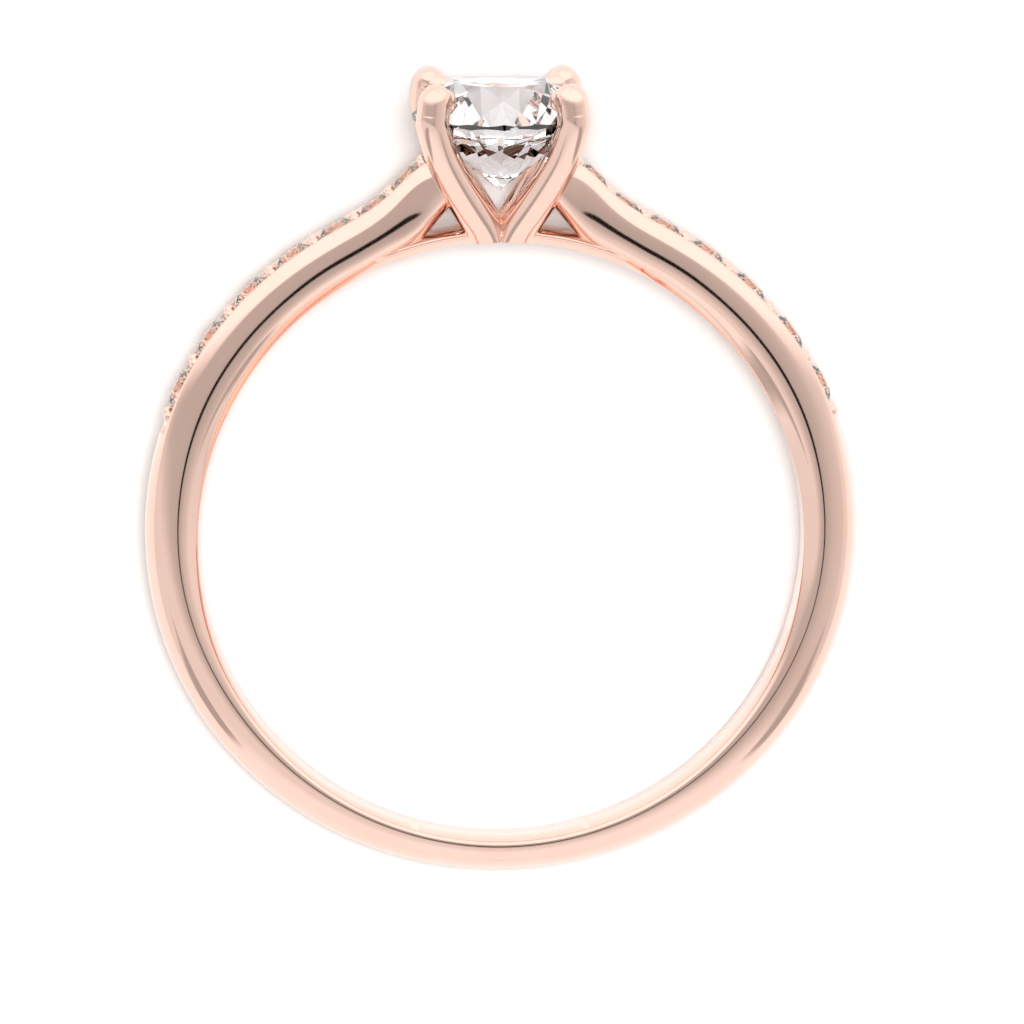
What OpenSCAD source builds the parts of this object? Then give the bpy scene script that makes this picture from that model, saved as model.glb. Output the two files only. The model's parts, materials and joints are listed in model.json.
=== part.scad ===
// Four-claw solitaire ring with a round brilliant stone and small stones set along both shoulders.
// The ring is drawn flat first, with the finger axis along Z and the head towards +Y.
// It is then laid on its side on the plane z = 0, where it rests on the centre stone's edge
// and the back of the band.

/* [Finger hole] */
// Inside diameter of the ring, a US size 7
bore_d = 17.3; // [16:0.1:19]

/* [Band] */
// Thickness of the band at the back of the finger
back_t = 0.96; // [0.8:0.02:1.1]
// Thickness of the band at the sides of the finger
side_t = 1.5; // [1.3:0.02:1.56]
// Thickness of the band at the shoulders
shoulder_t = 1.53; // [1.46:0.01:1.58]
// Thickness of the bridge that runs on under the head
bridge_t = 0.44; // [0.4:0.02:0.6]
// Width of the band at the back of the finger
back_w = 2; // [1.8:0.05:2.1]
// Width of the band at the shoulders
shoulder_w = 2.2; // [2.1:0.05:2.4]

/* [Centre stone] */
// Diameter of the centre stone
stone_d = 5; // [4.9:0.05:5.1]
// Height of the centre stone's girdle above the finger hole
stone_lift = 3.5; // [3.44:0.02:3.56]
// Height of the crown over the girdle
crown_h = 1; // [0.9:0.05:1.05]
// Depth of the pavilion under the girdle
pavilion_h = 2.1; // [2:0.05:2.15]
// Width of the table, as a share of the diameter
table_share = 0.57; // [0.53:0.01:0.62]

/* [Claws] */
// Diameter of a claw beside the girdle
claw_d = 0.95; // [0.85:0.01:0.98]
// Diameter of a claw at the foot of the head
claw_foot_d = 1.1; // [1.04:0.02:1.14]

/* [Shoulder stones] */
// How far a shoulder stone's girdle lies under the rim of the channel
stone_sink = 0.1; // [0.05:0.01:0.13]
// Depth of the channel that the shoulder stones stand in
channel_depth = 0.15; // [0.12:0.01:0.2]
// Width of the channel
channel_w = 1.5; // [1.45:0.05:1.6]
// Diameter of the setting beads
bead_d = 0.34; // [0.3:0.02:0.4]

/* [Hidden] */
STONES = [1, 2, 3, 4, 5, 6, 7];

rose_gold = "#E2AC95";
clear_stone = "#F2F5F7";

// Room between a stone and its metal seat
seat_gap = 0.03;
// Sides of a stone's girdle and of its seat, and of the finger hole
round_fn = 96;
bore_fn = 180;
bore_r = bore_d / 2;
stone_r = stone_d / 2;
girdle_y = bore_r + stone_lift;
girdle_h = 0.05;

// Sections of the band and arms, by the angle in degrees from the back of the finger:
// angle, outer radius, inner radius, half width, squareness outside, channel depth, radius where it is widest
under = bore_r - 0.1;
BAND = [
    [0, bore_r + back_t, under, back_w / 2, 2, 0, bore_r + 0.16],
    [30, bore_r + back_t + 0.13, under, back_w / 2, 2, 0, bore_r + 0.18],
    [60, bore_r + side_t - 0.17, under, back_w / 2 + 0.01, 2.2, 0, bore_r + 0.31],
    [90, bore_r + side_t, under, back_w / 2 + 0.03, 2.6, 0, bore_r + 0.53],
    [106, bore_r + side_t + 0.05, under, back_w / 2 + 0.05, 3.2, 0, bore_r + 0.6],
    [109, bore_r + side_t + 0.05, under, back_w / 2 + 0.05, 3.6, channel_depth, bore_r + 0.6],
    [130, bore_r + shoulder_t, under, shoulder_w / 2 - 0.02, 5, channel_depth, bore_r + 0.6],
    [142, bore_r + shoulder_t - 0.01, under, shoulder_w / 2, 5, channel_depth, bore_r + 0.61],
    [150, bore_r + shoulder_t - 0.01, bore_r - 0.06, shoulder_w / 2, 5, channel_depth, bore_r + 0.67],
    [157, bore_r + shoulder_t + 0.06, bore_r + 0.06, shoulder_w / 2, 5, channel_depth, bore_r + 0.8],
    [162, bore_r + 1.82, bore_r + 0.16, shoulder_w / 2, 5, channel_depth, bore_r + 0.94],
    [165, bore_r + 2.15, bore_r + 0.29, shoulder_w / 2, 5, channel_depth, bore_r + 1.12],
    [168, bore_r + 2.46, bore_r + 0.66, shoulder_w / 2 + 0.02, 5, channel_depth, bore_r + 1.42],
    [170, bore_r + 2.54, bore_r + 0.93, shoulder_w / 2 + 0.06, 5, 0, bore_r + 1.62],
    [172, bore_r + 2.5, bore_r + 1.2, shoulder_w / 2 + 0.1, 5, 0, bore_r + 1.78]
];
OUTER = 1;
INNER = 2;
HALF_W = 3;
SQUARE = 4;
CHANNEL = 5;
WIDEST = 6;

// Shoulder stones from the head outwards: angle from the back of the finger, diameter
SHOULDER = [
    [165.4, 1],
    [159.6, 1.1],
    [152.5, 1.18],
    [144.3, 1.24],
    [135.4, 1.3],
    [125.6, 1.34],
    [115.9, 1.3]
];

// Centre line of a claw: distance to the side, height over the bore's centre, distance to the front, radius
tip_y = girdle_y + crown_h - 0.28;
CLAW = [
    [0.2, bore_r - 0.35, 0.45, claw_foot_d / 2],
    [0.53, bore_r + 0.42, 0.66, claw_foot_d / 2],
    [0.91, bore_r + 1.05, 0.97, claw_foot_d / 2],
    [1.27, bore_r + 1.72, 1.3, claw_foot_d / 2 - 0.01],
    [1.7, bore_r + 2.57, 1.69, (claw_foot_d + claw_d) / 4 - 0.01],
    [1.98, girdle_y, 1.98, claw_d / 2],
    [1.98, girdle_y + 0.28, 1.98, claw_d / 2],
    [1.94, tip_y - 0.05, 1.94, claw_d / 2 - 0.015],
    [1.86, tip_y + 0.09, 1.86, claw_d / 2 - 0.045]
];
// Round end of a claw that lies over the stone's crown: its place along each side, height and radius
lobe_at = 1.67;
lobe_y = tip_y - 0.05;
lobe_r = claw_d * 0.38;

// Row of a table that the value v falls in, by its first column
function row(t, v, i = 0) = i >= len(t) - 2 || v < t[i + 1][0] ? i : row(t, v, i + 1);
// Slope of column c at row i, from the rows beside it
function slope(t, k, i, c) =
    let (lo = max(i - 1, 0), hi = min(i + 1, len(t) - 1))
    i == 0 ? 0 : (t[hi][c] - t[lo][c]) / (k[hi] - k[lo]);
// Smooth value of column c at v, where k holds the rows' own places
function smooth(t, k, v, c, i) =
    let (w = k[i + 1] - k[i], u = (v - k[i]) / w, p = t[i][c], q = t[i + 1][c])
    let (mp = slope(t, k, i, c) * w, mq = slope(t, k, i + 1, c) * w)
    p + u * mp + u * u * (3 * (q - p) - 2 * mp - mq) + u * u * u * (2 * (p - q) + mp + mq);
BAND_AT = [for (r = BAND) r[0]];
function band(a, c) = smooth(BAND, BAND_AT, abs(a), c, row(BAND, abs(a)));

// Point at the angle a from the back of the finger, towards +X, at the radius r and the height z
function around(a, r, z) = [r * sin(a), -r * cos(a), z];

// Radius of the section's outer face at the height z, a superellipse of half width w between mid and out
function outer_face(mid, out, w, square, z) =
    mid + (out - mid) * pow(1 - pow(z / w, square), 1 / square);

// Where a section has points: round its inner side, round its outer corner, and on the ledge by the channel
INNER_TURNS = [90, 62, 40, 20, 8];
CORNER_TURNS = [0, 14, 28];
LEDGE_STEPS = [0.68, 0.36];
// How far the channel's walls lean in towards its floor
wall_lean = 0.05;
// Half of the section at the angle a, as radius and height, from the inner middle to the outer middle
function half_section(a) =
    let (out = band(a, OUTER), in = band(a, INNER), w = band(a, HALF_W))
    let (square = band(a, SQUARE), dip = max(0, band(a, CHANNEL)), mid = band(a, WIDEST))
    let (lip = channel_w / 2, lip_r = outer_face(mid, out, w, square, lip), ledge = w * 0.97 - lip)
    concat(
        [for (t = INNER_TURNS) [mid - (mid - in) * pow(sin(t), 2 / 3), w * pow(cos(t), 2 / 3)]],
        [for (t = CORNER_TURNS) [mid + (out - mid) * pow(sin(t), 2 / square), w * pow(cos(t), 2 / square)]],
        [for (s = LEDGE_STEPS) [outer_face(mid, out, w, square, lip + ledge * s), lip + ledge * s]],
        [[lip_r, lip], [lip_r - dip, lip - wall_lean], [out - dip, 0]]
    );
function section(a) =
    let (h = half_section(a), n = len(h))
    concat(h, [for (i = [n - 2:-1:1]) [h[i][0], -h[i][1]]]);

// Faces of a swept solid: rings rings of n points, with a flat cap on each end
function swept_faces(rings, n) =
    concat(
        [[for (i = [n - 1:-1:0]) i]],
        [for (j = [0:rings - 2]) for (i = [0:n - 1]) [j * n + i, j * n + (i + 1) % n, (j + 1) * n + i]],
        [for (j = [0:rings - 2]) for (i = [0:n - 1])
            [j * n + (i + 1) % n, (j + 1) * n + (i + 1) % n, (j + 1) * n + i]],
        [[for (i = [0:n - 1]) (rings - 1) * n + i]]
    );

// Angle at which the arms end, and the band's sections: wide apart at the back, closer on the shoulders
arm_end = 172;
fine_from = 104;
STATIONS_SIDE = concat([for (a = [0:6.5:fine_from - 6.5]) a], [for (a = [fine_from:2:arm_end]) a]);
STATIONS = concat(
    [for (i = [len(STATIONS_SIDE) - 1:-1:1]) STATIONS_SIDE[i]],
    [for (a = STATIONS_SIDE) -a]
);
BAND_POINTS = [for (a = STATIONS) for (p = section(a)) around(a, p[0], p[1])];

module shank_and_arms() {
    polyhedron(BAND_POINTS, swept_faces(len(STATIONS), len(section(0))));
}

// The band's continuation under the head, whose ends lie inside the shoulders
bridge_half = 44;
bridge_w = 1.9;
module bridge() {
    top_r = bore_r + bridge_t;
    w = bridge_w / 2;
    half = [
        [under, w - 0.4],
        [bore_r + 0.12, w - 0.06],
        [bore_r + 0.25, w],
        [top_r - 0.12, w - 0.06],
        [top_r - 0.03, w - 0.25],
        [top_r, w - 0.55]
    ];
    rotate([0, 0, 90 - bridge_half])
        rotate_extrude(angle = 2 * bridge_half)
            polygon(concat(
                [for (p = half) [p[0], -p[1]]],
                [for (i = [len(half) - 1:-1:0]) half[i]]
            ));
}

// The claw's centre line, tangent and radius at t, which counts the rows of its table
CLAW_AT = [for (i = [0:len(CLAW) - 1]) i];
function claw(t, c) = smooth(CLAW, CLAW_AT, t, c, min(floor(t), len(CLAW) - 2));
function claw_at(t) = [claw(t, 0), claw(t, 1), claw(t, 2)];
function unit(v) = v / norm(v);
function claw_way(t) =
    let (e = 0.02, a = max(t - e, 0), b = min(t + e, len(CLAW) - 1))
    unit(claw_at(b) - claw_at(a));
claw_sides = 12;
// Length of the round tip, as a share of the claw's radius there
tip_round = 0.8;
// A ring of points round the centre line at t, shrunk and pushed on by the angle f of the round tip
function claw_ring(t, f) =
    let (d = claw_way(t), across = unit(cross([1, 0, 1], d)), out = cross(d, across))
    let (r = claw(t, 3) * cos(f), c = claw_at(t) + d * claw(t, 3) * sin(f) * tip_round)
    [for (i = [0:claw_sides - 1])
        let (q = i * 360 / claw_sides)
        c + out * r * cos(q) + across * r * sin(q)];
claw_steps = 2;
last_row = len(CLAW) - 1;
TIP_TURNS = [30, 55, 78];
CLAW_POINTS = concat(
    [for (s = [0:last_row * claw_steps]) for (p = claw_ring(s / claw_steps, 0)) p],
    [for (f = TIP_TURNS) for (p = claw_ring(last_row, f)) p]
);

module claw_wire() {
    polyhedron(CLAW_POINTS, swept_faces(last_row * claw_steps + 1 + len(TIP_TURNS), claw_sides));
}

// The lobe's rings of points, by their angle over its middle
LOBE_TURNS = [78, 52, 26, 0, -26, -52, -78];
module claw_lobe() {
    translate([lobe_at, lobe_y, lobe_at])
        rotate([35, 20, 0])
            polyhedron(
                [for (f = LOBE_TURNS) for (p = ring_of(claw_sides, lobe_r * cos(f), 0, lobe_r * sin(f))) p],
                swept_faces(len(LOBE_TURNS), claw_sides)
            );
}

// Each claw is notched where it holds the stone
module claws() {
    for (x = [0, 1], z = [0, 1])
        mirror([x, 0, 0])
            mirror([0, 0, z])
                difference() {
                    union() {
                        claw_wire();
                        claw_lobe();
                    }
                    at_head()
                        stone_seat(stone_d, crown_h, pavilion_h, table_share, girdle_h);
                }
}

// Place and outward direction on the outer face at the angle a
function outer_point(a) = around(a, band(a, OUTER), 0);
function outer_turn(a) =
    let (e = 0.5, d = outer_point(a + e) - outer_point(a - e))
    atan2(d[1], d[0]) - 90;

// Moves a child from the origin, with its axis along +Z, onto the outer face at the angle a
module on_shoulder(a, z = 0, up = 0) {
    translate([0, 0, z])
        translate(outer_point(a))
            rotate([0, 0, outer_turn(a)])
                rotate([0, 90, 0])
                    translate([0, 0, up])
                        children();
}

// Angle midway between shoulder stones i and i + 1, or beyond the first and the last
past_first = 3.1;
past_last = 4.7;
function bead_angle(i) =
    let (n = len(SHOULDER) - 1)
    i < 0 ? SHOULDER[0][0] + past_first :
    i >= n ? SHOULDER[n][0] - past_last :
    (SHOULDER[i][0] + SHOULDER[i + 1][0]) / 2;

// Distance of a pair of beads from the middle of the channel, and how deep their centres lie in it
bead_z = 0.42;
bead_sink = 0.07;
module beads() {
    for (side = [-1, 1], i = [-1:len(SHOULDER) - 1], z = [-bead_z, bead_z])
        on_shoulder(side * bead_angle(i), z, -bead_sink)
            sphere(d = bead_d, $fn = 16);
}

// n points on a circle of radius r at the height z, the first at the angle turn
function ring_of(n, r, turn, z) =
    [for (k = [0:n - 1])
        let (q = turn + k * 360 / n)
        [r * cos(q), r * sin(q), z]];
// Radius that a brilliant's facets are drawn to before its girdle is turned round
function drawn_r(d) = d / 2 * 1.025;
// Radius and height of the crown's star points, and the same of the pavilion's lower points
function star_r(d, table) = (d / 2 * table * cos(22.5) + drawn_r(d)) / 2;
function star_z(d, crown, table) =
    crown * (drawn_r(d) - star_r(d, table) * cos(22.5)) / (drawn_r(d) - d / 2 * table);
function low_point_r(d) = drawn_r(d) * 0.26;
function low_point_z(d, pavilion) = pavilion * (1 - low_point_r(d) * cos(22.5) / drawn_r(d));

// Round brilliant: table, stars, kites, upper halves, a turned girdle, lower halves and pavilion mains.
// Its girdle lies at the origin, and its table faces +Z.
module brilliant(d, crown, pavilion, table, girdle) {
    r = drawn_r(d);
    table_r = d / 2 * table;
    star = star_r(d, table);
    star_up = star_z(d, crown, table);
    low = low_point_r(d);
    low_down = low_point_z(d, pavilion);
    intersection() {
        polyhedron(
            concat(
                ring_of(8, table_r, 0, girdle / 2 + crown),
                ring_of(8, star, 22.5, girdle / 2 + star_up),
                ring_of(16, r, 0, girdle / 2),
                ring_of(16, r, 0, -girdle / 2),
                ring_of(8, low, 22.5, -girdle / 2 - low_down),
                [[0, 0, -girdle / 2 - pavilion]]
            ),
            concat(
                [[for (k = [7:-1:0]) k]],
                [for (k = [0:7]) [k, (k + 1) % 8, 8 + k]],
                [for (k = [0:7]) [k, 8 + k, 16 + 2 * k]],
                [for (k = [0:7]) [k, 16 + 2 * k, 8 + (k + 7) % 8]],
                [for (k = [0:7]) [8 + k, 16 + 2 * k + 1, 16 + 2 * k]],
                [for (k = [0:7]) [8 + k, 16 + (2 * k + 2) % 16, 16 + 2 * k + 1]],
                [for (k = [0:15]) [16 + k, 16 + (k + 1) % 16, 32 + k]],
                [for (k = [0:15]) [16 + (k + 1) % 16, 32 + (k + 1) % 16, 32 + k]],
                [for (k = [0:7]) [32 + 2 * k, 32 + 2 * k + 1, 48 + k]],
                [for (k = [0:7]) [32 + 2 * k + 1, 32 + (2 * k + 2) % 16, 48 + k]],
                [for (k = [0:7]) [32 + 2 * k, 48 + k, 56]],
                [for (k = [0:7]) [48 + k, 32 + (2 * k + 2) % 16, 56]]
            )
        );
        cylinder(d = d, h = 4 * d, center = true, $fn = round_fn);
    }
}

// Round hollow that the brilliant lies in with room round it
module stone_seat(d, crown, pavilion, table, girdle) {
    r = d / 2;
    star = star_r(d, table);
    turned = drawn_r(d) - r;
    over = star_z(d, crown, table) * turned / (drawn_r(d) - star);
    below = low_point_z(d, pavilion) * turned / (drawn_r(d) - low_point_r(d));
    rotate_extrude($fn = round_fn)
        polygon([
            [0, -girdle / 2 - pavilion - 2 * seat_gap],
            [r + seat_gap, -girdle / 2 - below - seat_gap],
            [r + seat_gap, girdle / 2 + over + seat_gap],
            [star + seat_gap, girdle / 2 + star_z(d, crown, table) + seat_gap],
            [r * table + seat_gap, girdle / 2 + crown + seat_gap],
            [0, girdle / 2 + crown + seat_gap]
        ]);
}

module at_head() {
    translate([0, girdle_y, 0])
        rotate([-90, 0, 0])
            rotate([0, 0, 22.5])
                children();
}

// Small stones have the centre stone's proportions
function small_crown(d) = d * 0.16;
function small_pavilion(d) = d * 0.42;
small_girdle = 0.03;
module at_shoulder_stone(side, i) {
    s = SHOULDER[i - 1];
    on_shoulder(side * s[0], 0, -stone_sink)
        children();
}

// Angle at which the flat ring leans back until the stone's edge and the back of the band touch z = 0
lie = atan((stone_r - back_w / 2) / (girdle_y - girdle_h / 2 + BAND[0][WIDEST]));
// The ring's own points at rest, from which its place over the origin is worked out
function lie_y(p) = p[1] * cos(lie) - p[2] * sin(lie);
function lie_z(p) = p[1] * sin(lie) + p[2] * cos(lie);
CLAW_TIPS = [for (z = [-1, 1]) for (p = CLAW_POINTS) [p[0], p[1], z * p[2]]];
STONE_RIM = [for (y = [-girdle_h / 2, girdle_h / 2]) [0, girdle_y + y, -stone_r]];
low_z = min([for (p = concat(STONE_RIM, CLAW_TIPS, BAND_POINTS)) lie_z(p)]);
table_top = girdle_y + girdle_h / 2 + crown_h;
top_y = max(max([for (p = CLAW_TIPS) lie_y(p)]), table_top * cos(lie) + stone_r * table_share * sin(lie));
bottom_y = min([for (p = BAND_POINTS) lie_y(p)]);

module laid() {
    translate([0, -(top_y + bottom_y) / 2, -low_z])
        rotate([lie, 0, 0])
            children();
}

module band_and_claws() {
    color(rose_gold)
        laid()
            difference() {
                union() {
                    shank_and_arms();
                    bridge();
                    claws();
                    beads();
                }
                cylinder(r = bore_r, h = 4 * shoulder_w, center = true, $fn = bore_fn);
                for (side = [-1, 1], i = STONES)
                    at_shoulder_stone(side, i)
                        stone_seat(SHOULDER[i - 1][1], small_crown(SHOULDER[i - 1][1]),
                            small_pavilion(SHOULDER[i - 1][1]), table_share, small_girdle);
            }
}

module centre_stone() {
    color(clear_stone)
        laid()
            at_head()
                brilliant(stone_d, crown_h, pavilion_h, table_share, girdle_h);
}

module shoulder_stone(side, i) {
    d = SHOULDER[i - 1][1];
    color(clear_stone)
        laid()
            at_shoulder_stone(side, i)
                brilliant(d, small_crown(d), small_pavilion(d), table_share, small_girdle);
}

band_and_claws();
centre_stone();
for (i = STONES) {
    shoulder_stone(-1, i);
    shoulder_stone(1, i);
}
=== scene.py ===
# Four-claw solitaire ring in rose-gold-plated silver, with a round brilliant
# and a row of small stones along both shoulders
import json
import math
import bmesh
import bpy
from mathutils import Matrix, Vector


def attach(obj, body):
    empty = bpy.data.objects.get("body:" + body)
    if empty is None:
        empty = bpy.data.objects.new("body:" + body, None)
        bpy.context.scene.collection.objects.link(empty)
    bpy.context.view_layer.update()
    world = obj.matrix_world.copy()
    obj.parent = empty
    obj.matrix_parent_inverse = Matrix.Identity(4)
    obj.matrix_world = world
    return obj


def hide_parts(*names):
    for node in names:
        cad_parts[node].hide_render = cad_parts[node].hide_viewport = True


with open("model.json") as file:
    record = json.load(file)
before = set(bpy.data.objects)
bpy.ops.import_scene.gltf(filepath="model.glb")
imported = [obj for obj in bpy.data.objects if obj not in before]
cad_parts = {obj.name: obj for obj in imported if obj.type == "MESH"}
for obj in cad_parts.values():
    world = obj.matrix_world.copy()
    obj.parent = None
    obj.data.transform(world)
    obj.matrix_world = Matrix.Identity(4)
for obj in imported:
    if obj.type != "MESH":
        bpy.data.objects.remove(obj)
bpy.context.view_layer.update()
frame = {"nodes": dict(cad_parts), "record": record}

mm = 0.001
facing = 0.9  # the share of an axis in the normal of a face that looks along it

# The metal is modelled flat round the origin in millimetres, with the head towards +Y and the finger's axis
# along Z, and is laid down at the end where the frame's finger hole lies
hole = frame["record"]["mounts"][0]
holeRadius = hole["dims"]["r_mm"]
ringCentre = Vector(hole["pos_m"])
lean = math.atan2(-hole["axis"][1], hole["axis"][2])
turnDown = Matrix.Rotation(lean, 4, "X")
layDown = Matrix.Translation(ringCentre) @ turnDown @ Matrix.Scale(mm, 4)


def deselectAll():
    if bpy.context.object and bpy.context.object.mode != "OBJECT":
        bpy.ops.object.mode_set(mode="OBJECT")
    bpy.ops.object.select_all(action="DESELECT")


def pick(*objects):  # the last one becomes active
    deselectAll()
    for piece in objects:
        piece.select_set(True)
    bpy.context.view_layer.objects.active = objects[-1]


def startEdit(piece, kind="VERT"):
    pick(piece)
    bpy.ops.object.mode_set(mode="EDIT")
    bpy.ops.mesh.select_mode(type=kind)
    bpy.ops.mesh.select_all(action="DESELECT")


def endEdit():
    bpy.ops.object.mode_set(mode="OBJECT")


def selectFaces(piece, test):  # in edit mode: selects the faces that pass the test, and nothing else
    bpy.ops.mesh.select_all(action="DESELECT")
    mesh = bmesh.from_edit_mesh(piece.data)
    for face in mesh.faces:
        if test(face):
            face.select_set(True)
    mesh.select_flush_mode()
    bmesh.update_edit_mesh(piece.data)


def named(name):  # the primitive that was just added
    piece = bpy.context.object
    piece.name = name
    piece.data.name = name
    return piece


def applyModifier(piece, kind, **settings):
    pick(piece)
    modifier = piece.modifiers.new(kind.lower(), kind)
    for setting, value in settings.items():
        setattr(modifier, setting, value)
    bpy.ops.object.modifier_apply(modifier=modifier.name)


def place(piece, matrix):  # moves a piece and writes the move into its mesh
    pick(piece)
    piece.matrix_world = matrix @ piece.matrix_world
    bpy.ops.object.transform_apply(location=True, rotation=True, scale=True)


def copyOf(piece, name):  # a copy with its own mesh
    pick(piece)
    bpy.ops.object.duplicate(linked=False)
    return named(name)


def joined(pieces, name):
    pick(*pieces)
    bpy.ops.object.join()
    return named(name)


def combine(piece, other, operation):  # adds another closed shell to a piece, or cuts it away
    applyModifier(piece, "BOOLEAN", object=other, operation=operation, solver="MANIFOLD")
    bpy.data.objects.remove(other)


def smoothRow(rows, at):
    # the further columns of a table at a place between two of its rows, on a smooth curve through all of them
    i = max(k for k in range(len(rows) - 1) if k == 0 or rows[k][0] <= at)
    low, high = rows[i], rows[i + 1]
    before, after = rows[max(i - 1, 0)], rows[min(i + 2, len(rows) - 1)]
    width = high[0] - low[0]
    u = (at - low[0]) / width
    values = []
    for c in range(1, len(low)):
        slopeLow = 0 if i == 0 else (high[c] - before[c]) / (high[0] - before[0]) * width
        slopeHigh = (after[c] - low[c]) / (after[0] - low[0]) * width
        rise = high[c] - low[c]
        values.append(low[c] + u * slopeLow + u * u * (3 * rise - 2 * slopeLow - slopeHigh)
                      + u ** 3 * (slopeLow + slopeHigh - 2 * rise))
    return values


def easeBetween(value, low, high):
    u = min(max((value - low) / (high - low), 0), 1)
    return u * u * (3 - 2 * u)


# Band and arms
bandShape = {
    # angle from the back of the finger, outer face and underside over the hole's wall, half width, squareness
    # and the height where it is widest
    "sections": [
        (0, 0.96, -0.1, 1, 2, 0.16),
        (30, 1.09, -0.1, 1, 2, 0.18),
        (60, 1.33, -0.1, 1.01, 2.2, 0.31),
        (90, 1.5, -0.1, 1.03, 2.6, 0.53),
        (106, 1.55, -0.1, 1.05, 3.2, 0.6),
        (130, 1.53, -0.1, 1.08, 5, 0.6),
        (142, 1.52, -0.1, 1.1, 5, 0.61),
        (150, 1.52, -0.06, 1.1, 5, 0.67),
        (157, 1.59, 0.06, 1.1, 5, 0.8),
        (162, 1.82, 0.16, 1.1, 5, 0.94),
        (165, 2.15, 0.29, 1.1, 5, 1.12),
        (168, 2.46, 0.66, 1.12, 5, 1.42),
        (170, 2.54, 0.93, 1.16, 5, 1.62),
        (172, 2.5, 1.2, 1.2, 5, 1.78),
    ],
    "stations": [*range(0, 99, 7), *range(104, 149, 4), *range(151, 173, 3)],  # degrees, as above
    # the round form at the back: the points of its underside, of its corner and of the ledge up to the groove
    "undersideTurns": [90, 72, 56, 41, 26, 11],
    "undersideSquareness": 3,
    "cornerTurns": [0, 14, 28],
    "ledgeReach": 0.97,  # of the half width
    "ledgeSteps": [0.68, 0.36, 0],
    # the flat form of the arms: a bright flat along each outer edge and a pale one along each inner edge
    "chamferDrop": 0.36,
    "chamferInset": 0.27,
    "chamferFrom": (100, 126),  # angles over which the round corner turns into that flat
    "bevelRise": 0.36,
    "bevelInset": 0.36,
    "bevelFrom": (50, 100),
    "faceArch": 0.035,  # how far the front face bulges between its two flats
    # points beside each edge of the flats, as height and distance to the front, which keep the edge crisp
    "bevelFoot": [(0.03, 0.02)],
    "bevelTop": [(-0.03, -0.03), (0.04, 0)],
    "chamferFoot": [(-0.05, 0), (0.03, -0.02)],
    "chamferTop": [(-0.04, 0.03), (-0.005, -0.03)],
    "flatPoint": 0.6,  # share of the flat underside, and a distance from its edge, where it has points
    "flatEdge": 0.06,
    "cutAway": 0.06,  # what the finger hole cuts from the flat undersides
    "channelHalf": 0.75,  # half the width of the groove that the small stones stand in
    "channelDepth": 0.15,
    "channelLean": 0.05,
    "channelFrom": 107,
    "channelTo": 169.5,
    "channelFacing": 0.5,  # faces that look outwards by this share of their normal belong to the groove
    "rimCrease": 0.85,
    "floorCrease": 0.7,
    "endRim": 0.12,  # the narrow rim round each arm's end that keeps it flat
    "smoothing": 2,
}


def blend(points, others, share):
    return [tuple(Vector(a).lerp(Vector(b), share)) for a, b in zip(points, others)]


def bothSides(points):  # the section's other half is the mirror image of the first
    return points + [(height, -z) for height, z in reversed(points[1:-1])]


def bandSection(angle):  # points round the band as height over the hole's wall and distance to the front
    out, under, half, square, mid = smoothRow(bandShape["sections"], abs(angle))
    lip = bandShape["channelHalf"]
    drop, inset = bandShape["chamferDrop"], bandShape["chamferInset"]
    rise, strip = bandShape["bevelRise"], bandShape["bevelInset"]
    arch = bandShape["faceArch"]
    low = max(under, 0)
    sunk = max(under, -bandShape["cutAway"])

    def curve(z):
        return mid + (out - mid) * (1 - (z / half) ** square) ** (1 / square)

    def beside(edge, height, z):
        return [(height + up, z + forward) for up, forward in bandShape[edge]]

    power = 2 / bandShape["undersideSquareness"]
    underside = []
    for turn in bandShape["undersideTurns"]:
        t = math.radians(turn)
        height = mid - (mid - under) * math.sin(t) ** power
        underside.append((max(height, -bandShape["cutAway"]), half * max(math.cos(t), 0) ** power))
    bevelled = [(sunk, 0), (sunk, (half - strip) * bandShape["flatPoint"]),
                (sunk, half - strip - bandShape["flatEdge"])]
    bevelled += beside("bevelFoot", low, half - strip)
    bevelled += beside("bevelTop", low + rise, half - arch)
    points = blend(underside, bevelled, easeBetween(abs(angle), *bandShape["bevelFrom"]))

    rounded = []
    for turn in bandShape["cornerTurns"]:
        t = math.radians(turn)
        height = mid + (out - mid) * math.sin(t) ** (2 / square)
        rounded.append((height, half * math.cos(t) ** (2 / square)))
    ledge = half * bandShape["ledgeReach"] - lip
    rounded += [(curve(lip + ledge * share), lip + ledge * share) for share in bandShape["ledgeSteps"]]
    chamfered = [((low + rise + out - drop) / 2, half)]
    chamfered += beside("chamferFoot", out - drop, half - arch)
    chamfered += beside("chamferTop", out, half - inset)
    chamfered.append((out, lip))
    points += blend(rounded, chamfered, easeBetween(abs(angle), *bandShape["chamferFrom"]))
    points += [(curve(lip / 2), lip / 2), (out, 0)]
    return bothSides(points)


def makeBar(name, stations, section):
    # a straight bar along X whose sections follow one another, unrolled from the hole's wall at y = 0, which
    # stays in edit mode
    count = len(section(stations[0]))
    bpy.ops.mesh.primitive_circle_add(vertices=count, radius=1, fill_type="NOTHING")
    bar = named(name)
    startEdit(bar)
    bpy.ops.mesh.select_all(action="SELECT")
    for number, angle in enumerate(stations):
        if number:
            step = math.radians(angle - stations[number - 1]) * holeRadius
            bpy.ops.mesh.extrude_region_move(TRANSFORM_OT_translate={"value": (step, 0, 0)})
        mesh = bmesh.from_edit_mesh(bar.data)
        mesh.verts.index_update()
        ends = sorted((v for v in mesh.verts if v.select), key=lambda v: v.index)
        for vert, (height, z) in zip(ends, section(angle)):  # the new end takes its own section
            vert.co = (math.radians(angle) * holeRadius, -height, z)
        bmesh.update_edit_mesh(bar.data)
    bpy.ops.mesh.select_all(action="SELECT")
    bpy.ops.mesh.fill_holes(sides=0)
    bpy.ops.mesh.normals_make_consistent(inside=False)
    return bar


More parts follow.
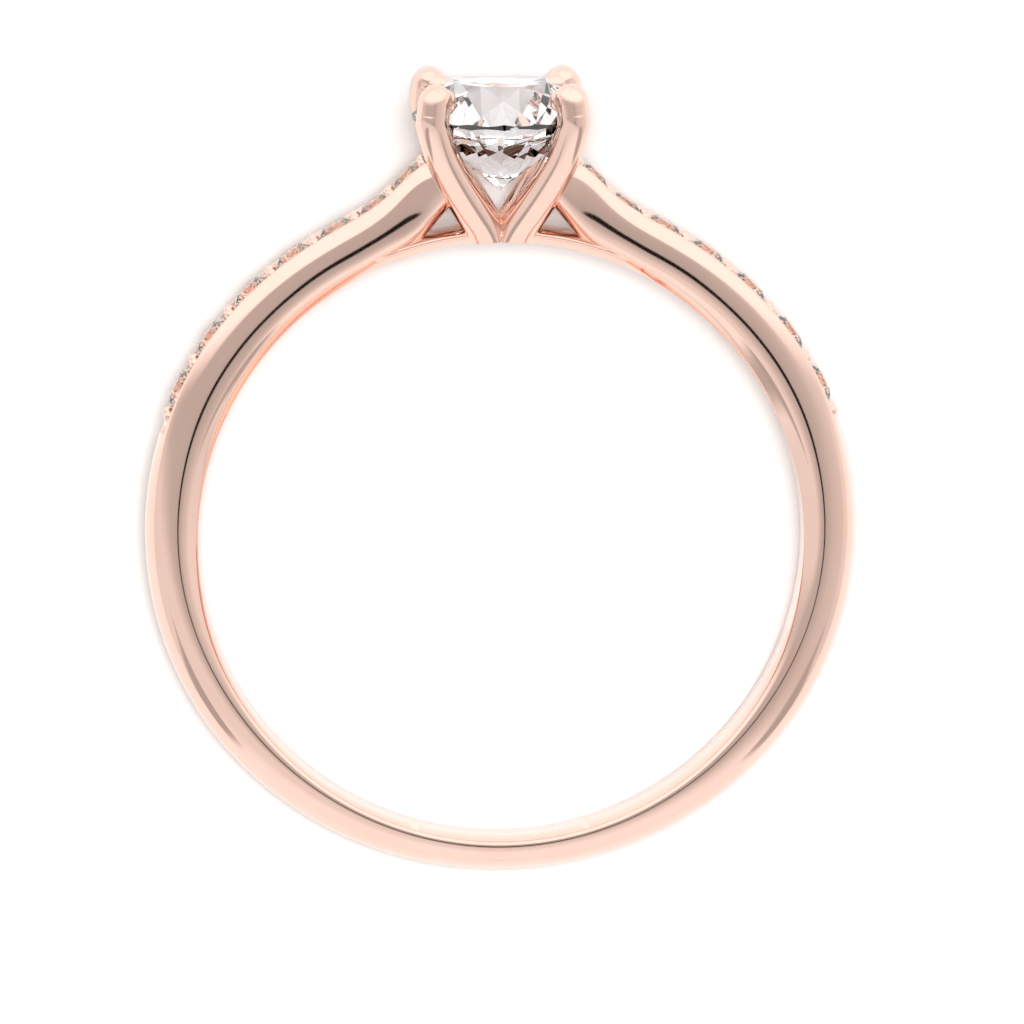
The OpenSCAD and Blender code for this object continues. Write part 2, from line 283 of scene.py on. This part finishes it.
def smoothAndBend(bar, levels):  # the bar is bent round the finger, so that y = 0 becomes the hole's wall
    applyModifier(bar, "SUBSURF", levels=levels, render_levels=levels)
    low = min(v.co.x for v in bar.data.vertices)
    high = max(v.co.x for v in bar.data.vertices)
    sweep = (high - low) / holeRadius
    applyModifier(bar, "SIMPLE_DEFORM", deform_method="BEND", deform_axis="Z", angle=sweep)
    place(bar, Matrix.Translation((0, -holeRadius, 0)))


def creaseEdge(amount):  # hardens the edge round the selected faces
    bpy.ops.mesh.region_to_loop()
    bpy.ops.transform.edge_crease(value=amount)


def makeBand():
    side = bandShape["stations"]
    stations = [-angle for angle in reversed(side[1:])] + side
    band = makeBar("bandAndArms", stations, bandSection)
    lip = bandShape["channelHalf"]
    start = math.radians(bandShape["channelFrom"]) * holeRadius
    stop = math.radians(bandShape["channelTo"]) * holeRadius

    def onGroove(face):
        at = face.calc_center_median()
        outwards = -face.normal.y > bandShape["channelFacing"]
        return outwards and abs(at.z) < lip and start < abs(at.x) < stop

    bpy.ops.mesh.select_mode(type="FACE")
    selectFaces(band, lambda face: abs(face.normal.x) > facing)  # the arms' ends
    bpy.ops.mesh.inset(thickness=bandShape["endRim"])
    selectFaces(band, onGroove)
    creaseEdge(bandShape["rimCrease"])
    selectFaces(band, onGroove)
    bpy.ops.mesh.inset(thickness=bandShape["channelLean"], depth=-bandShape["channelDepth"])
    creaseEdge(bandShape["floorCrease"])
    endEdit()
    smoothAndBend(band, bandShape["smoothing"])
    return band


# Bridge under the head
bridgeShape = {
    "halfSweep": 44,  # degrees to each side of the head
    "step": 4,
    "thickness": 0.44,
    "halfWidth": 0.95,
    "flatPoint": 0.4,  # share of the half width, and a distance from its edge, where the underside has points
    "flatEdge": 0.35,
    # points up its side from the hole's wall, and over its top edge, both from the full half width
    "side": [(0.03, -0.26), (0.19, -0.08), (0.24, -0.04)],
    "topEdge": [(-0.13, -0.04), (-0.04, -0.2), (0, -0.45)],
    "smoothing": 2,
}


def bridgeSection(angle):  # one section for every angle
    top, half = bridgeShape["thickness"], bridgeShape["halfWidth"]
    sunk = -bandShape["cutAway"]
    points = [(sunk, 0), (sunk, half * bridgeShape["flatPoint"]), (sunk, half - bridgeShape["flatEdge"])]
    points += [(up, half + forward) for up, forward in bridgeShape["side"]]
    points += [(top + up, half + forward) for up, forward in bridgeShape["topEdge"]]
    return bothSides(points + [(top, 0)])


def makeBridge():
    reach, step = bridgeShape["halfSweep"], bridgeShape["step"]
    bridge = makeBar("bridge", [*range(-reach, reach + 1, step)], bridgeSection)
    endEdit()
    smoothAndBend(bridge, bridgeShape["smoothing"])
    place(bridge, Matrix.Rotation(math.pi, 4, "Z"))
    return bridge


# Centre stone's place, which the claws follow
stoneShape = {
    "diameter": 5,
    "lift": 3.5,  # of the girdle over the hole's wall
    "crown": 1,
    "pavilion": 2.1,
    "table": 0.57,
    "girdle": 0.05,
    "girdleFacets": 1.025,  # of the radius, where the facets would meet if the girdle didn't cut them
    "lowerHalves": 0.26,  # of the radius, where the lower halves end
    "room": 0.03,  # between a stone and the metal
    "seatSides": 64,
}
girdleY = holeRadius + stoneShape["lift"]

# Claws
tipDepth = 0.295  # under the stone's table, the height from which the claws' ends turn in over the stone
clawTop = girdleY + stoneShape["crown"] - tipDepth
clawShape = {
    # row, distance to the side, height, distance to the front, radius
    "path": [
        (0, 0.24, holeRadius - 0.35, 0.15, 0.55),
        (1, 0.5, holeRadius + 0.42, 0.6, 0.56),
        (2, 0.87, holeRadius + 1.05, 0.96, 0.56),
        (3, 1.27, holeRadius + 1.72, 1.3, 0.54),
        (4, 1.7, holeRadius + 2.57, 1.69, 0.5025),
        (5, 1.98, girdleY, 1.98, 0.475),
        (6, 1.98, girdleY + 0.28, 1.98, 0.475),
        (7, 1.94, clawTop - 0.05, 1.94, 0.46),
        (8, 1.86, clawTop + 0.09, 1.86, 0.43),
    ],
    "stepsPerRow": 6,
    "tipTurns": [12, 24, 36, 48, 60, 70, 80, 87],
    "tipRound": 0.8,
    "sides": 7,  # more make the wire rounder
    "mergeWithin": 0.0005,
    "lobeAt": 1.67,  # the rounded pad of each tip that lies over the stone
    "lobeDrop": 0.05,
    "lobeRadius": 0.361,
    "lobeSegments": 24,
    "lobeRings": 16,
    "lobeTurn": 32,  # degrees, keeps its faces out of line with the claw's
}


def makeClaw():
    last = len(clawShape["path"]) - 1
    steps = last * clawShape["stepsPerRow"]
    points = [smoothRow(clawShape["path"], last * k / steps) for k in range(steps + 1)]
    end = Vector(points[-1][:3])
    way = (end - Vector(points[-2][:3])).normalized()
    radius = points[-1][3]
    for turn in clawShape["tipTurns"]:
        t = math.radians(turn)
        tip = end + way * radius * math.sin(t) * clawShape["tipRound"]
        points.append([*tip, radius * math.cos(t)])
    bpy.ops.curve.primitive_bezier_curve_add()
    claw = named("claw")
    wire = claw.data
    wire.splines.clear()
    spline = wire.splines.new("POLY")
    spline.points.add(len(points) - 1)
    for point, (x, y, z, r) in zip(spline.points, points):
        point.co = (x, y, z, 1)
        point.radius = r
    wire.dimensions = "3D"
    wire.twist_mode = "MINIMUM"
    wire.bevel_depth = 1
    wire.bevel_resolution = clawShape["sides"]
    wire.use_fill_caps = True
    claw.location = (0, 0, 0)
    pick(claw)
    bpy.ops.object.convert(target="MESH")
    claw = named("claw")
    startEdit(claw)
    bpy.ops.mesh.select_all(action="SELECT")
    bpy.ops.mesh.remove_doubles(threshold=clawShape["mergeWithin"])
    bpy.ops.mesh.normals_make_consistent(inside=False)
    endEdit()
    bpy.ops.mesh.primitive_uv_sphere_add(segments=clawShape["lobeSegments"],
                                         ring_count=clawShape["lobeRings"], radius=clawShape["lobeRadius"])
    lobe = named("lobe")
    at, up = clawShape["lobeAt"], clawTop - clawShape["lobeDrop"]
    turn = Matrix.Rotation(math.radians(clawShape["lobeTurn"]), 4, "X")
    place(lobe, Matrix.Translation((at, up, at)) @ turn)
    combine(claw, lobe, "UNION")
    return claw


def mirrored(piece, name, signX, signZ):
    twin = copyOf(piece, name)
    place(twin, Matrix.Diagonal((signX, 1, signZ, 1)))
    if signX * signZ < 0:
        startEdit(twin)
        bpy.ops.mesh.select_all(action="SELECT")
        bpy.ops.mesh.normals_make_consistent(inside=False)
        endEdit()
    return twin


# Shoulder stones and their beads
shoulderShape = {
    # angle from the back of the finger and diameter, from the head outwards
    "stones": [(165.4, 1), (159.6, 1.1), (152.5, 1.18), (144.3, 1.24), (135.4, 1.3), (125.6, 1.34),
               (115.9, 1.3)],
    "sink": 0.1,  # of a girdle under the groove's rim
    "crown": 0.16,  # of the diameter
    "pavilion": 0.42,
    "girdle": 0.03,
    "beadRadius": 0.17,
    "beadSegments": 16,
    "beadRings": 10,
    "beadAside": 0.42,
    "beadSink": 0.07,
    "pastFirst": 3.1,  # degrees from the first and the last stone to the beads at the row's ends
    "pastLast": 4.7,
}


def outerPoint(angle):
    a = math.radians(angle)
    r = holeRadius + smoothRow(bandShape["sections"], abs(angle))[0]
    return Vector((r * math.sin(a), -r * math.cos(a), 0))


def onShoulder(angle, z, up):  # turns a piece's +Z outwards and stands it on the outer face
    along = outerPoint(angle + 0.5) - outerPoint(angle - 0.5)
    turn = math.atan2(along.y, along.x) - math.pi / 2
    return (Matrix.Translation(outerPoint(angle) + Vector((0, 0, z))) @ Matrix.Rotation(turn, 4, "Z")
            @ Matrix.Rotation(math.pi / 2, 4, "Y") @ Matrix.Translation((0, 0, up)))


def makeSeat(name, diameter, crown, pavilion, girdle):  # the room that a stone needs, as a cutter
    room, r = stoneShape["room"], diameter / 2
    table = r * stoneShape["table"]
    drawn = r * stoneShape["girdleFacets"]
    flat = math.cos(math.pi / 8)  # share of an octagon's radius that reaches the middle of its side
    star = (table * flat + drawn) / 2
    starUp = crown * (drawn - star * flat) / (drawn - table)
    over = starUp * (drawn - r) / (drawn - star)
    low = drawn * stoneShape["lowerHalves"]
    below = pavilion * (1 - low * flat / drawn) * (drawn - r) / (drawn - low)
    bottom = -girdle / 2 - pavilion - 2 * room
    rim = -girdle / 2 - below - room
    bpy.ops.mesh.primitive_cone_add(vertices=stoneShape["seatSides"], radius1=0, radius2=r + room,
                                    depth=rim - bottom, location=(0, 0, (rim + bottom) / 2))
    seat = named(name)
    bpy.ops.object.transform_apply(location=True)
    startEdit(seat, "FACE")
    selectFaces(seat, lambda face: face.normal.z > facing)
    heights = [rim, girdle / 2 + over + room, girdle / 2 + starUp + room, girdle / 2 + crown + room]
    radii = [r + room, r + room, star + room, table + room]
    for number in range(1, len(heights)):
        rise = heights[number] - heights[number - 1]
        bpy.ops.mesh.extrude_region_move(TRANSFORM_OT_translate={"value": (0, 0, rise)})
        shrink = radii[number] / radii[number - 1]
        bpy.ops.transform.resize(value=(shrink, shrink, 1), center_override=(0, 0, heights[number]))
    endEdit()
    return seat


def makeBeads():
    stones = shoulderShape["stones"]
    angles = [stones[0][0] + shoulderShape["pastFirst"]]
    angles += [(a[0] + b[0]) / 2 for a, b in zip(stones, stones[1:])]
    angles.append(stones[-1][0] - shoulderShape["pastLast"])
    bpy.ops.mesh.primitive_uv_sphere_add(segments=shoulderShape["beadSegments"],
                                         ring_count=shoulderShape["beadRings"],
                                         radius=shoulderShape["beadRadius"])
    first = named("bead")
    beads = []
    for side in (-1, 1):
        for angle in angles:
            for z in (-shoulderShape["beadAside"], shoulderShape["beadAside"]):
                bead = copyOf(first, "bead")
                place(bead, onShoulder(side * angle, z, -shoulderShape["beadSink"]))
                beads.append(bead)
    bpy.data.objects.remove(first)
    return joined(beads, "beads")


def makeShoulderSeats():
    seats = []
    for side in (-1, 1):
        for angle, diameter in shoulderShape["stones"]:
            seat = makeSeat("seat", diameter, diameter * shoulderShape["crown"],
                            diameter * shoulderShape["pavilion"], shoulderShape["girdle"])
            place(seat, onShoulder(side * angle, 0, -shoulderShape["sink"]))
            seats.append(seat)
    return joined(seats, "shoulderSeats")


# All the metal is one piece
metalShape = {
    "holeSides": 360,
    "holeLength": 8,  # of the cutter, more than the band is wide
    "smoothUnder": 32,  # degrees, edges that are less sharp are shaded smooth
}


def makeMetal():
    metal = makeBand()
    print("band and arms are bent")
    combine(metal, makeBridge(), "UNION")
    claw = makeClaw()
    seat = makeSeat("centreSeat", stoneShape["diameter"], stoneShape["crown"], stoneShape["pavilion"],
                    stoneShape["girdle"])
    place(seat, Matrix.Translation((0, girdleY, 0)) @ Matrix.Rotation(-math.pi / 2, 4, "X"))
    combine(claw, seat, "DIFFERENCE")
    for signX in (-1, 1):
        for signZ in (-1, 1):
            combine(metal, mirrored(claw, "clawCopy", signX, signZ), "UNION")
    bpy.data.objects.remove(claw)
    bpy.ops.mesh.primitive_cylinder_add(vertices=metalShape["holeSides"], radius=holeRadius,
                                        depth=metalShape["holeLength"])
    combine(metal, named("fingerHole"), "DIFFERENCE")
    print("bridge and claws are joined on")
    combine(metal, makeBeads(), "UNION")
    combine(metal, makeShoulderSeats(), "DIFFERENCE")
    print("beads are raised and seats are cut")
    metal.name = "ringMetal"
    metal.data.name = "ringMetal"
    place(metal, layDown)
    pick(metal)
    bpy.ops.object.shade_smooth_by_angle(angle=math.radians(metalShape["smoothUnder"]))
    return metal


def linear(hexColour):  # sRGB hex to the linear values that shaders take
    channels = [int(hexColour[i:i + 2], 16) / 255 for i in (1, 3, 5)]
    return tuple(c / 12.92 if c <= 0.04045 else ((c + 0.055) / 1.055) ** 2.4 for c in channels) + (1,)


def addNode(tree, kind, inputs=None, **settings):  # an input is a value, or a node and the name of its output
    node = tree.nodes.new(kind)
    for setting, value in settings.items():
        setattr(node, setting, value)
    for name, value in (inputs or {}).items():
        if isinstance(value, tuple) and isinstance(value[0], bpy.types.Node):
            tree.links.new(value[0].outputs[value[1]], node.inputs[name])
        else:
            node.inputs[name].default_value = value
    return node


def newMaterial(name):
    material = bpy.data.materials.new(name)
    material.use_nodes = True
    material.node_tree.nodes.clear()
    return material, material.node_tree


def perMm(size):  # a texture's scale for features of that many millimetres
    return 1 / (size * mm)


roseGoldLook = {
    "light": "#FAD9CB",
    "deep": "#F5CFBF",
    "roughness": (0.035, 0.075),
    "cloudSize": 2.5,  # mm, where the plating's tone drifts
    "polishSize": 0.05,  # mm, lines that the polishing mop leaves, drawn coarser than they are
    "polishStretch": 0.12,  # their width as a share of their length
    "polishDepth": 0.002,  # mm
    "filletRadius": 0.045,  # mm, solder and casting fillets where pieces meet
}


def roseGoldPlate():
    # Rose-gold plate on sterling silver, buffed to a mirror: clear reflections, warm pink where it is grey
    material, tree = newMaterial("polishedRoseGoldPlate")
    coords = addNode(tree, "ShaderNodeTexCoord")
    cloud = addNode(tree, "ShaderNodeTexNoise", {"Vector": (coords, "Object"), "Detail": 3.0,
                                                 "Scale": perMm(roseGoldLook["cloudSize"])})
    tone = addNode(tree, "ShaderNodeMixRGB", {"Fac": (cloud, "Fac"), "Color1": linear(roseGoldLook["deep"]),
                                              "Color2": linear(roseGoldLook["light"])})
    stretch = addNode(tree, "ShaderNodeMapping", {"Vector": (coords, "Object"),
                                                    "Scale": (1, 1, roseGoldLook["polishStretch"])})
    lines = addNode(tree, "ShaderNodeTexNoise", {"Vector": (stretch, "Vector"), "Detail": 5.0,
                                                 "Roughness": 0.6,
                                                 "Scale": perMm(roseGoldLook["polishSize"])})
    low, high = roseGoldLook["roughness"]
    rough = addNode(tree, "ShaderNodeMapRange", {"Value": (lines, "Fac"), "From Min": 0.3, "From Max": 0.7,
                                                 "To Min": low, "To Max": high})
    fillet = addNode(tree, "ShaderNodeBevel", {"Radius": roseGoldLook["filletRadius"] * mm}, samples=6)
    bump = addNode(tree, "ShaderNodeBump", {"Height": (lines, "Fac"), "Strength": 0.02,
                                            "Distance": roseGoldLook["polishDepth"] * mm,
                                            "Normal": (fillet, "Normal")})
    metal = addNode(tree, "ShaderNodeBsdfPrincipled", {"Base Color": (tone, "Color"), "Metallic": 1.0,
                                                       "Roughness": (rough, "Result"),
                                                       "Normal": (bump, "Normal")})
    addNode(tree, "ShaderNodeOutputMaterial", {"Surface": (metal, "BSDF")})
    return material


zirconiaLook = {
    "centre": ("#FDFEFF", "#F4F6F8"),  # tints between which the stone drifts
    "small": ("#FAE3D2", "#E2B08C"),  # painted reflection: the small stones are clear, and these orange-brown tints stand in for the rose gold of the seats that they would mirror
    "centrePatch": 0.9,  # mm
    # size of the mottles in the small stones' painted reflection of gold
    "smallPatch": 0.1,
    "ior": 2.16,
    "hazeSize": 0.08,  # mm, the faint lap marks of facet polishing
    "haze": 0.012,  # how rough they are at most
    "shadow": "#B4B4B4",  # the light that falls through a stone on what lies behind it
}


def cutZirconia(name, tints, patchSize):
    # Cubic zirconia, cut and lapped: water-clear, strong fire and hard glints, with crisp facet edges. The
    # small stones' tints are a painted reflection of the gold round them
    material, tree = newMaterial(name)
    coords = addNode(tree, "ShaderNodeTexCoord")
    patch = addNode(tree, "ShaderNodeTexNoise", {"Vector": (coords, "Object"), "Detail": 1.0,
                                                 "Scale": perMm(patchSize)})
    share = addNode(tree, "ShaderNodeMapRange", {"Value": (patch, "Fac"), "From Min": 0.4, "From Max": 0.6})
    tint = addNode(tree, "ShaderNodeMixRGB", {"Fac": (share, "Result"), "Color1": linear(tints[0]),
                                              "Color2": linear(tints[1])})
    lap = addNode(tree, "ShaderNodeTexNoise", {"Vector": (coords, "Object"), "Detail": 2.0,
                                               "Scale": perMm(zirconiaLook["hazeSize"])})
    rough = addNode(tree, "ShaderNodeMapRange", {"Value": (lap, "Fac"), "From Min": 0.4, "From Max": 0.8,
                                                 "To Min": 0.0, "To Max": zirconiaLook["haze"]})
    gem = addNode(tree, "ShaderNodeBsdfPrincipled", {"Base Color": (tint, "Color"),
                                                     "Roughness": (rough, "Result"),
                                                     "IOR": zirconiaLook["ior"], "Transmission Weight": 1.0})
    rays = addNode(tree, "ShaderNodeLightPath")
    clear = addNode(tree, "ShaderNodeBsdfTransparent", {"Color": linear(zirconiaLook["shadow"])})
    light = addNode(tree, "ShaderNodeMixShader", {0: (rays, "Is Shadow Ray"), 1: (gem, "BSDF"),
                                                  2: (clear, "BSDF")})  # light falls through the stone
    addNode(tree, "ShaderNodeOutputMaterial", {"Surface": (light, "Shader")})
    return material


floorLook = {
    "colour": "#F4F3F2",
    "size": 3.0,  # metres across
    "roughness": 0.55,
    "grain": 0.6,  # mm
    "grainDepth": 0.02,
}


def makeFloor():
    bpy.ops.mesh.primitive_plane_add(size=floorLook["size"])
    floor = named("studioFloor")
    material, tree = newMaterial("whiteStudioPaper")
    coords = addNode(tree, "ShaderNodeTexCoord")
    grain = addNode(tree, "ShaderNodeTexNoise", {"Vector": (coords, "Object"), "Detail": 4.0,
                                                 "Scale": perMm(floorLook["grain"])})
    bump = addNode(tree, "ShaderNodeBump", {"Height": (grain, "Fac"), "Strength": 0.05,
                                            "Distance": floorLook["grainDepth"] * mm})
    paper = addNode(tree, "ShaderNodeBsdfPrincipled", {"Base Color": linear(floorLook["colour"]),
                                                       "Roughness": floorLook["roughness"],
                                                       "Normal": (bump, "Normal")})
    addNode(tree, "ShaderNodeOutputMaterial", {"Surface": (paper, "BSDF")})
    floor.data.materials.append(material)


cameraLook = {
    "azimuth": -3,  # degrees round the ring's height, as in the photograph
    "elevation": 9.6,
    "distance": 350,  # mm from the ring's centre
    "pixelsPerMm": 35,
    "centrePixel": (500, 538),
    "imageSize": 1024,
}


def makeCamera():
    a, e = math.radians(cameraLook["azimuth"]), math.radians(cameraLook["elevation"])
    back = Vector((math.sin(a) * math.cos(e), math.sin(e), math.cos(a) * math.cos(e)))
    right = Vector((0, 1, 0)).cross(back).normalized()
    up = back.cross(right)
    middle = cameraLook["imageSize"] / 2
    px, py = cameraLook["centrePixel"]
    target = (right * (middle - px) + up * (py - middle)) / cameraLook["pixelsPerMm"]
    spin = Matrix((right, up, back)).transposed().to_4x4()
    at = Matrix.Translation(target + back * cameraLook["distance"])
    bpy.ops.object.camera_add()
    camera = named("camera")
    camera.matrix_world = layDown @ at @ spin
    camera.scale = (1, 1, 1)
    camera.data.sensor_fit = "HORIZONTAL"
    camera.data.angle = 2 * math.atan(middle / cameraLook["pixelsPerMm"] / cameraLook["distance"])
    camera.data.clip_start = 0.01
    bpy.context.scene.camera = camera


skyLook = {
    # the tent's brightness over its front, from the left to the right
    "front": [(-1.0, 0.75), (-0.85, 0.6), (-0.65, 0.58), (-0.1, 0.58), (0.1, 0.52), (0.35, 0.68), (0.85, 0.8),
              (1.0, 0.95)],
    # its bright top, its foot and the table under it: where each begins, where it is full, how bright it is,
    # and how much higher it stands on the left
    "levels": [(0.2, 0.5, 1.35, 0), (-0.2, -0.42, 0.9, 0.35), (-0.45, -0.7, 1.1, 0)],
    # two grey flags at its lower sides and the dark slot for the lens: middle, half width, half height and
    # brightness
    "flags": [(-0.66, -0.56, 0.13, 0.17, 0.5), (0.66, -0.56, 0.13, 0.17, 0.5),
              (0.05, -0.166, 0.03, 0.08, 0.005)],
    "flagEdge": (0.8, 1.3),  # shares of their size over which they fade out
    "tint": "#FFFEFD",
    "onFloor": 0.4,  # brightness that reaches the matt floor
    "inStones": 1.1,  # brightness that the stones gather from all round
    "stoneShare": 0.6,  # how far that takes the place of the tent in them
}


def makeSky():
    # A light tent whose front is darker than its top and foot, with the dark slot of its opening in front
    world = bpy.data.worlds.new("lightTent")
    bpy.context.scene.world = world
    world.use_nodes = True
    tree = world.node_tree
    tree.nodes.clear()
    coords = addNode(tree, "ShaderNodeTexCoord")
    turned = addNode(tree, "ShaderNodeMapping", {"Vector": (coords, "Generated"), "Rotation": (-lean, 0, 0)})
    way = addNode(tree, "ShaderNodeSeparateXYZ", {"Vector": (turned, "Vector")})
    across = addNode(tree, "ShaderNodeMapRange", {"Value": (way, "X"), "From Min": -1.0, "From Max": 1.0})
    front = addNode(tree, "ShaderNodeValToRGB", {"Fac": (across, "Result")})
    stops = front.color_ramp.elements
    for number, (x, value) in enumerate(skyLook["front"]):
        stop = stops[number] if number < 2 else stops.new((x + 1) / 2)
        stop.position = (x + 1) / 2
        stop.color = (value, value, value, 1)
    light = front
    for start, full, value, tilt in skyLook["levels"]:
        height = addNode(tree, "ShaderNodeVectorMath", {0: (turned, "Vector"), 1: (tilt, 1, 0)},
                         operation="DOT_PRODUCT")
        share = addNode(tree, "ShaderNodeMapRange", {"Value": (height, "Value"), "From Min": start,
                                                     "From Max": full}, interpolation_type="SMOOTHSTEP")
        light = addNode(tree, "ShaderNodeMixRGB", {"Fac": (share, "Result"), "Color1": (light, "Color"),
                                                   "Color2": (value, value, value, 1)})
    inner, outer = skyLook["flagEdge"]
    for x, y, halfWidth, halfHeight, value in skyLook["flags"]:
        offset = addNode(tree, "ShaderNodeMapping", {"Vector": (turned, "Vector"),
                                                     "Scale": (1 / halfWidth, 1 / halfHeight, 0),
                                                     "Location": (-x / halfWidth, -y / halfHeight, 0)})
        reach = addNode(tree, "ShaderNodeVectorMath", {"Vector": (offset, "Vector")}, operation="LENGTH")
        flag = addNode(tree, "ShaderNodeMapRange", {"Value": (reach, "Value"), "From Min": inner,
                                                    "From Max": outer}, interpolation_type="SMOOTHSTEP")
        light = addNode(tree, "ShaderNodeMixRGB", {"Fac": (flag, "Result"),
                                                   "Color1": (value, value, value, 1),
                                                   "Color2": (light, "Color")})
    rays = addNode(tree, "ShaderNodeLightPath")
    floorLight, stoneLight = skyLook["onFloor"], skyLook["inStones"]
    onFloor = addNode(tree, "ShaderNodeMixRGB", {"Fac": (rays, "Is Diffuse Ray"), "Color1": (light, "Color"),
                                                 "Color2": (floorLight, floorLight, floorLight, 1)})
    throughStones = addNode(tree, "ShaderNodeMath", {0: (rays, "Is Transmission Ray"),
                                                     1: skyLook["stoneShare"]}, operation="MULTIPLY")
    inStones = addNode(tree, "ShaderNodeMixRGB", {"Fac": (throughStones, "Value"),
                                                  "Color1": (onFloor, "Color"),
                                                  "Color2": (stoneLight, stoneLight, stoneLight, 1)})
    tint = addNode(tree, "ShaderNodeMixRGB", {"Fac": 1.0, "Color1": (inStones, "Color"),
                                              "Color2": linear(skyLook["tint"])}, blend_type="MULTIPLY")
    background = addNode(tree, "ShaderNodeBackground", {"Color": (tint, "Color")})
    addNode(tree, "ShaderNodeOutputWorld", {"Surface": (background, "Background")})


lightLook = {
    "place": (0.0, 0.04, 0.5),  # metres, a square softbox straight over the ring
    "size": 0.16,
    "watts": 2.2,
}


def makeLight():
    bpy.ops.object.light_add(type="AREA", location=lightLook["place"])
    lamp = named("overheadSoftbox")
    lamp.data.size = lightLook["size"]
    lamp.data.energy = lightLook["watts"]
    lamp.rotation_euler = (Vector(lightLook["place"]) - ringCentre).to_track_quat("Z", "Y").to_euler()
    lamp.visible_camera = False
    lamp.visible_glossy = False  # the metal mirrors the tent, not the lamp


bpy.context.scene.view_settings.view_transform = "Standard"
makeCamera()
makeFloor()
makeSky()
makeLight()
print("camera, floor and light are set")

metal = makeMetal()
metal.data.materials.clear()
metal.data.materials.append(roseGoldPlate())
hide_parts("band_and_claws")
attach(metal, "root")

centreGem = cutZirconia("cutCubicZirconia", zirconiaLook["centre"], zirconiaLook["centrePatch"])
# the small stones' tint is a painted reflection of the rose gold under them
smallGem = cutZirconia("smallZirconiaPaintedGoldReflection", zirconiaLook["small"], zirconiaLook["smallPatch"])
for name, node in frame["nodes"].items():
    if "stone" in name:
        node.data.materials.clear()
        node.data.materials.append(centreGem if name == "centre_stone" else smallGem)
print("materials are on")
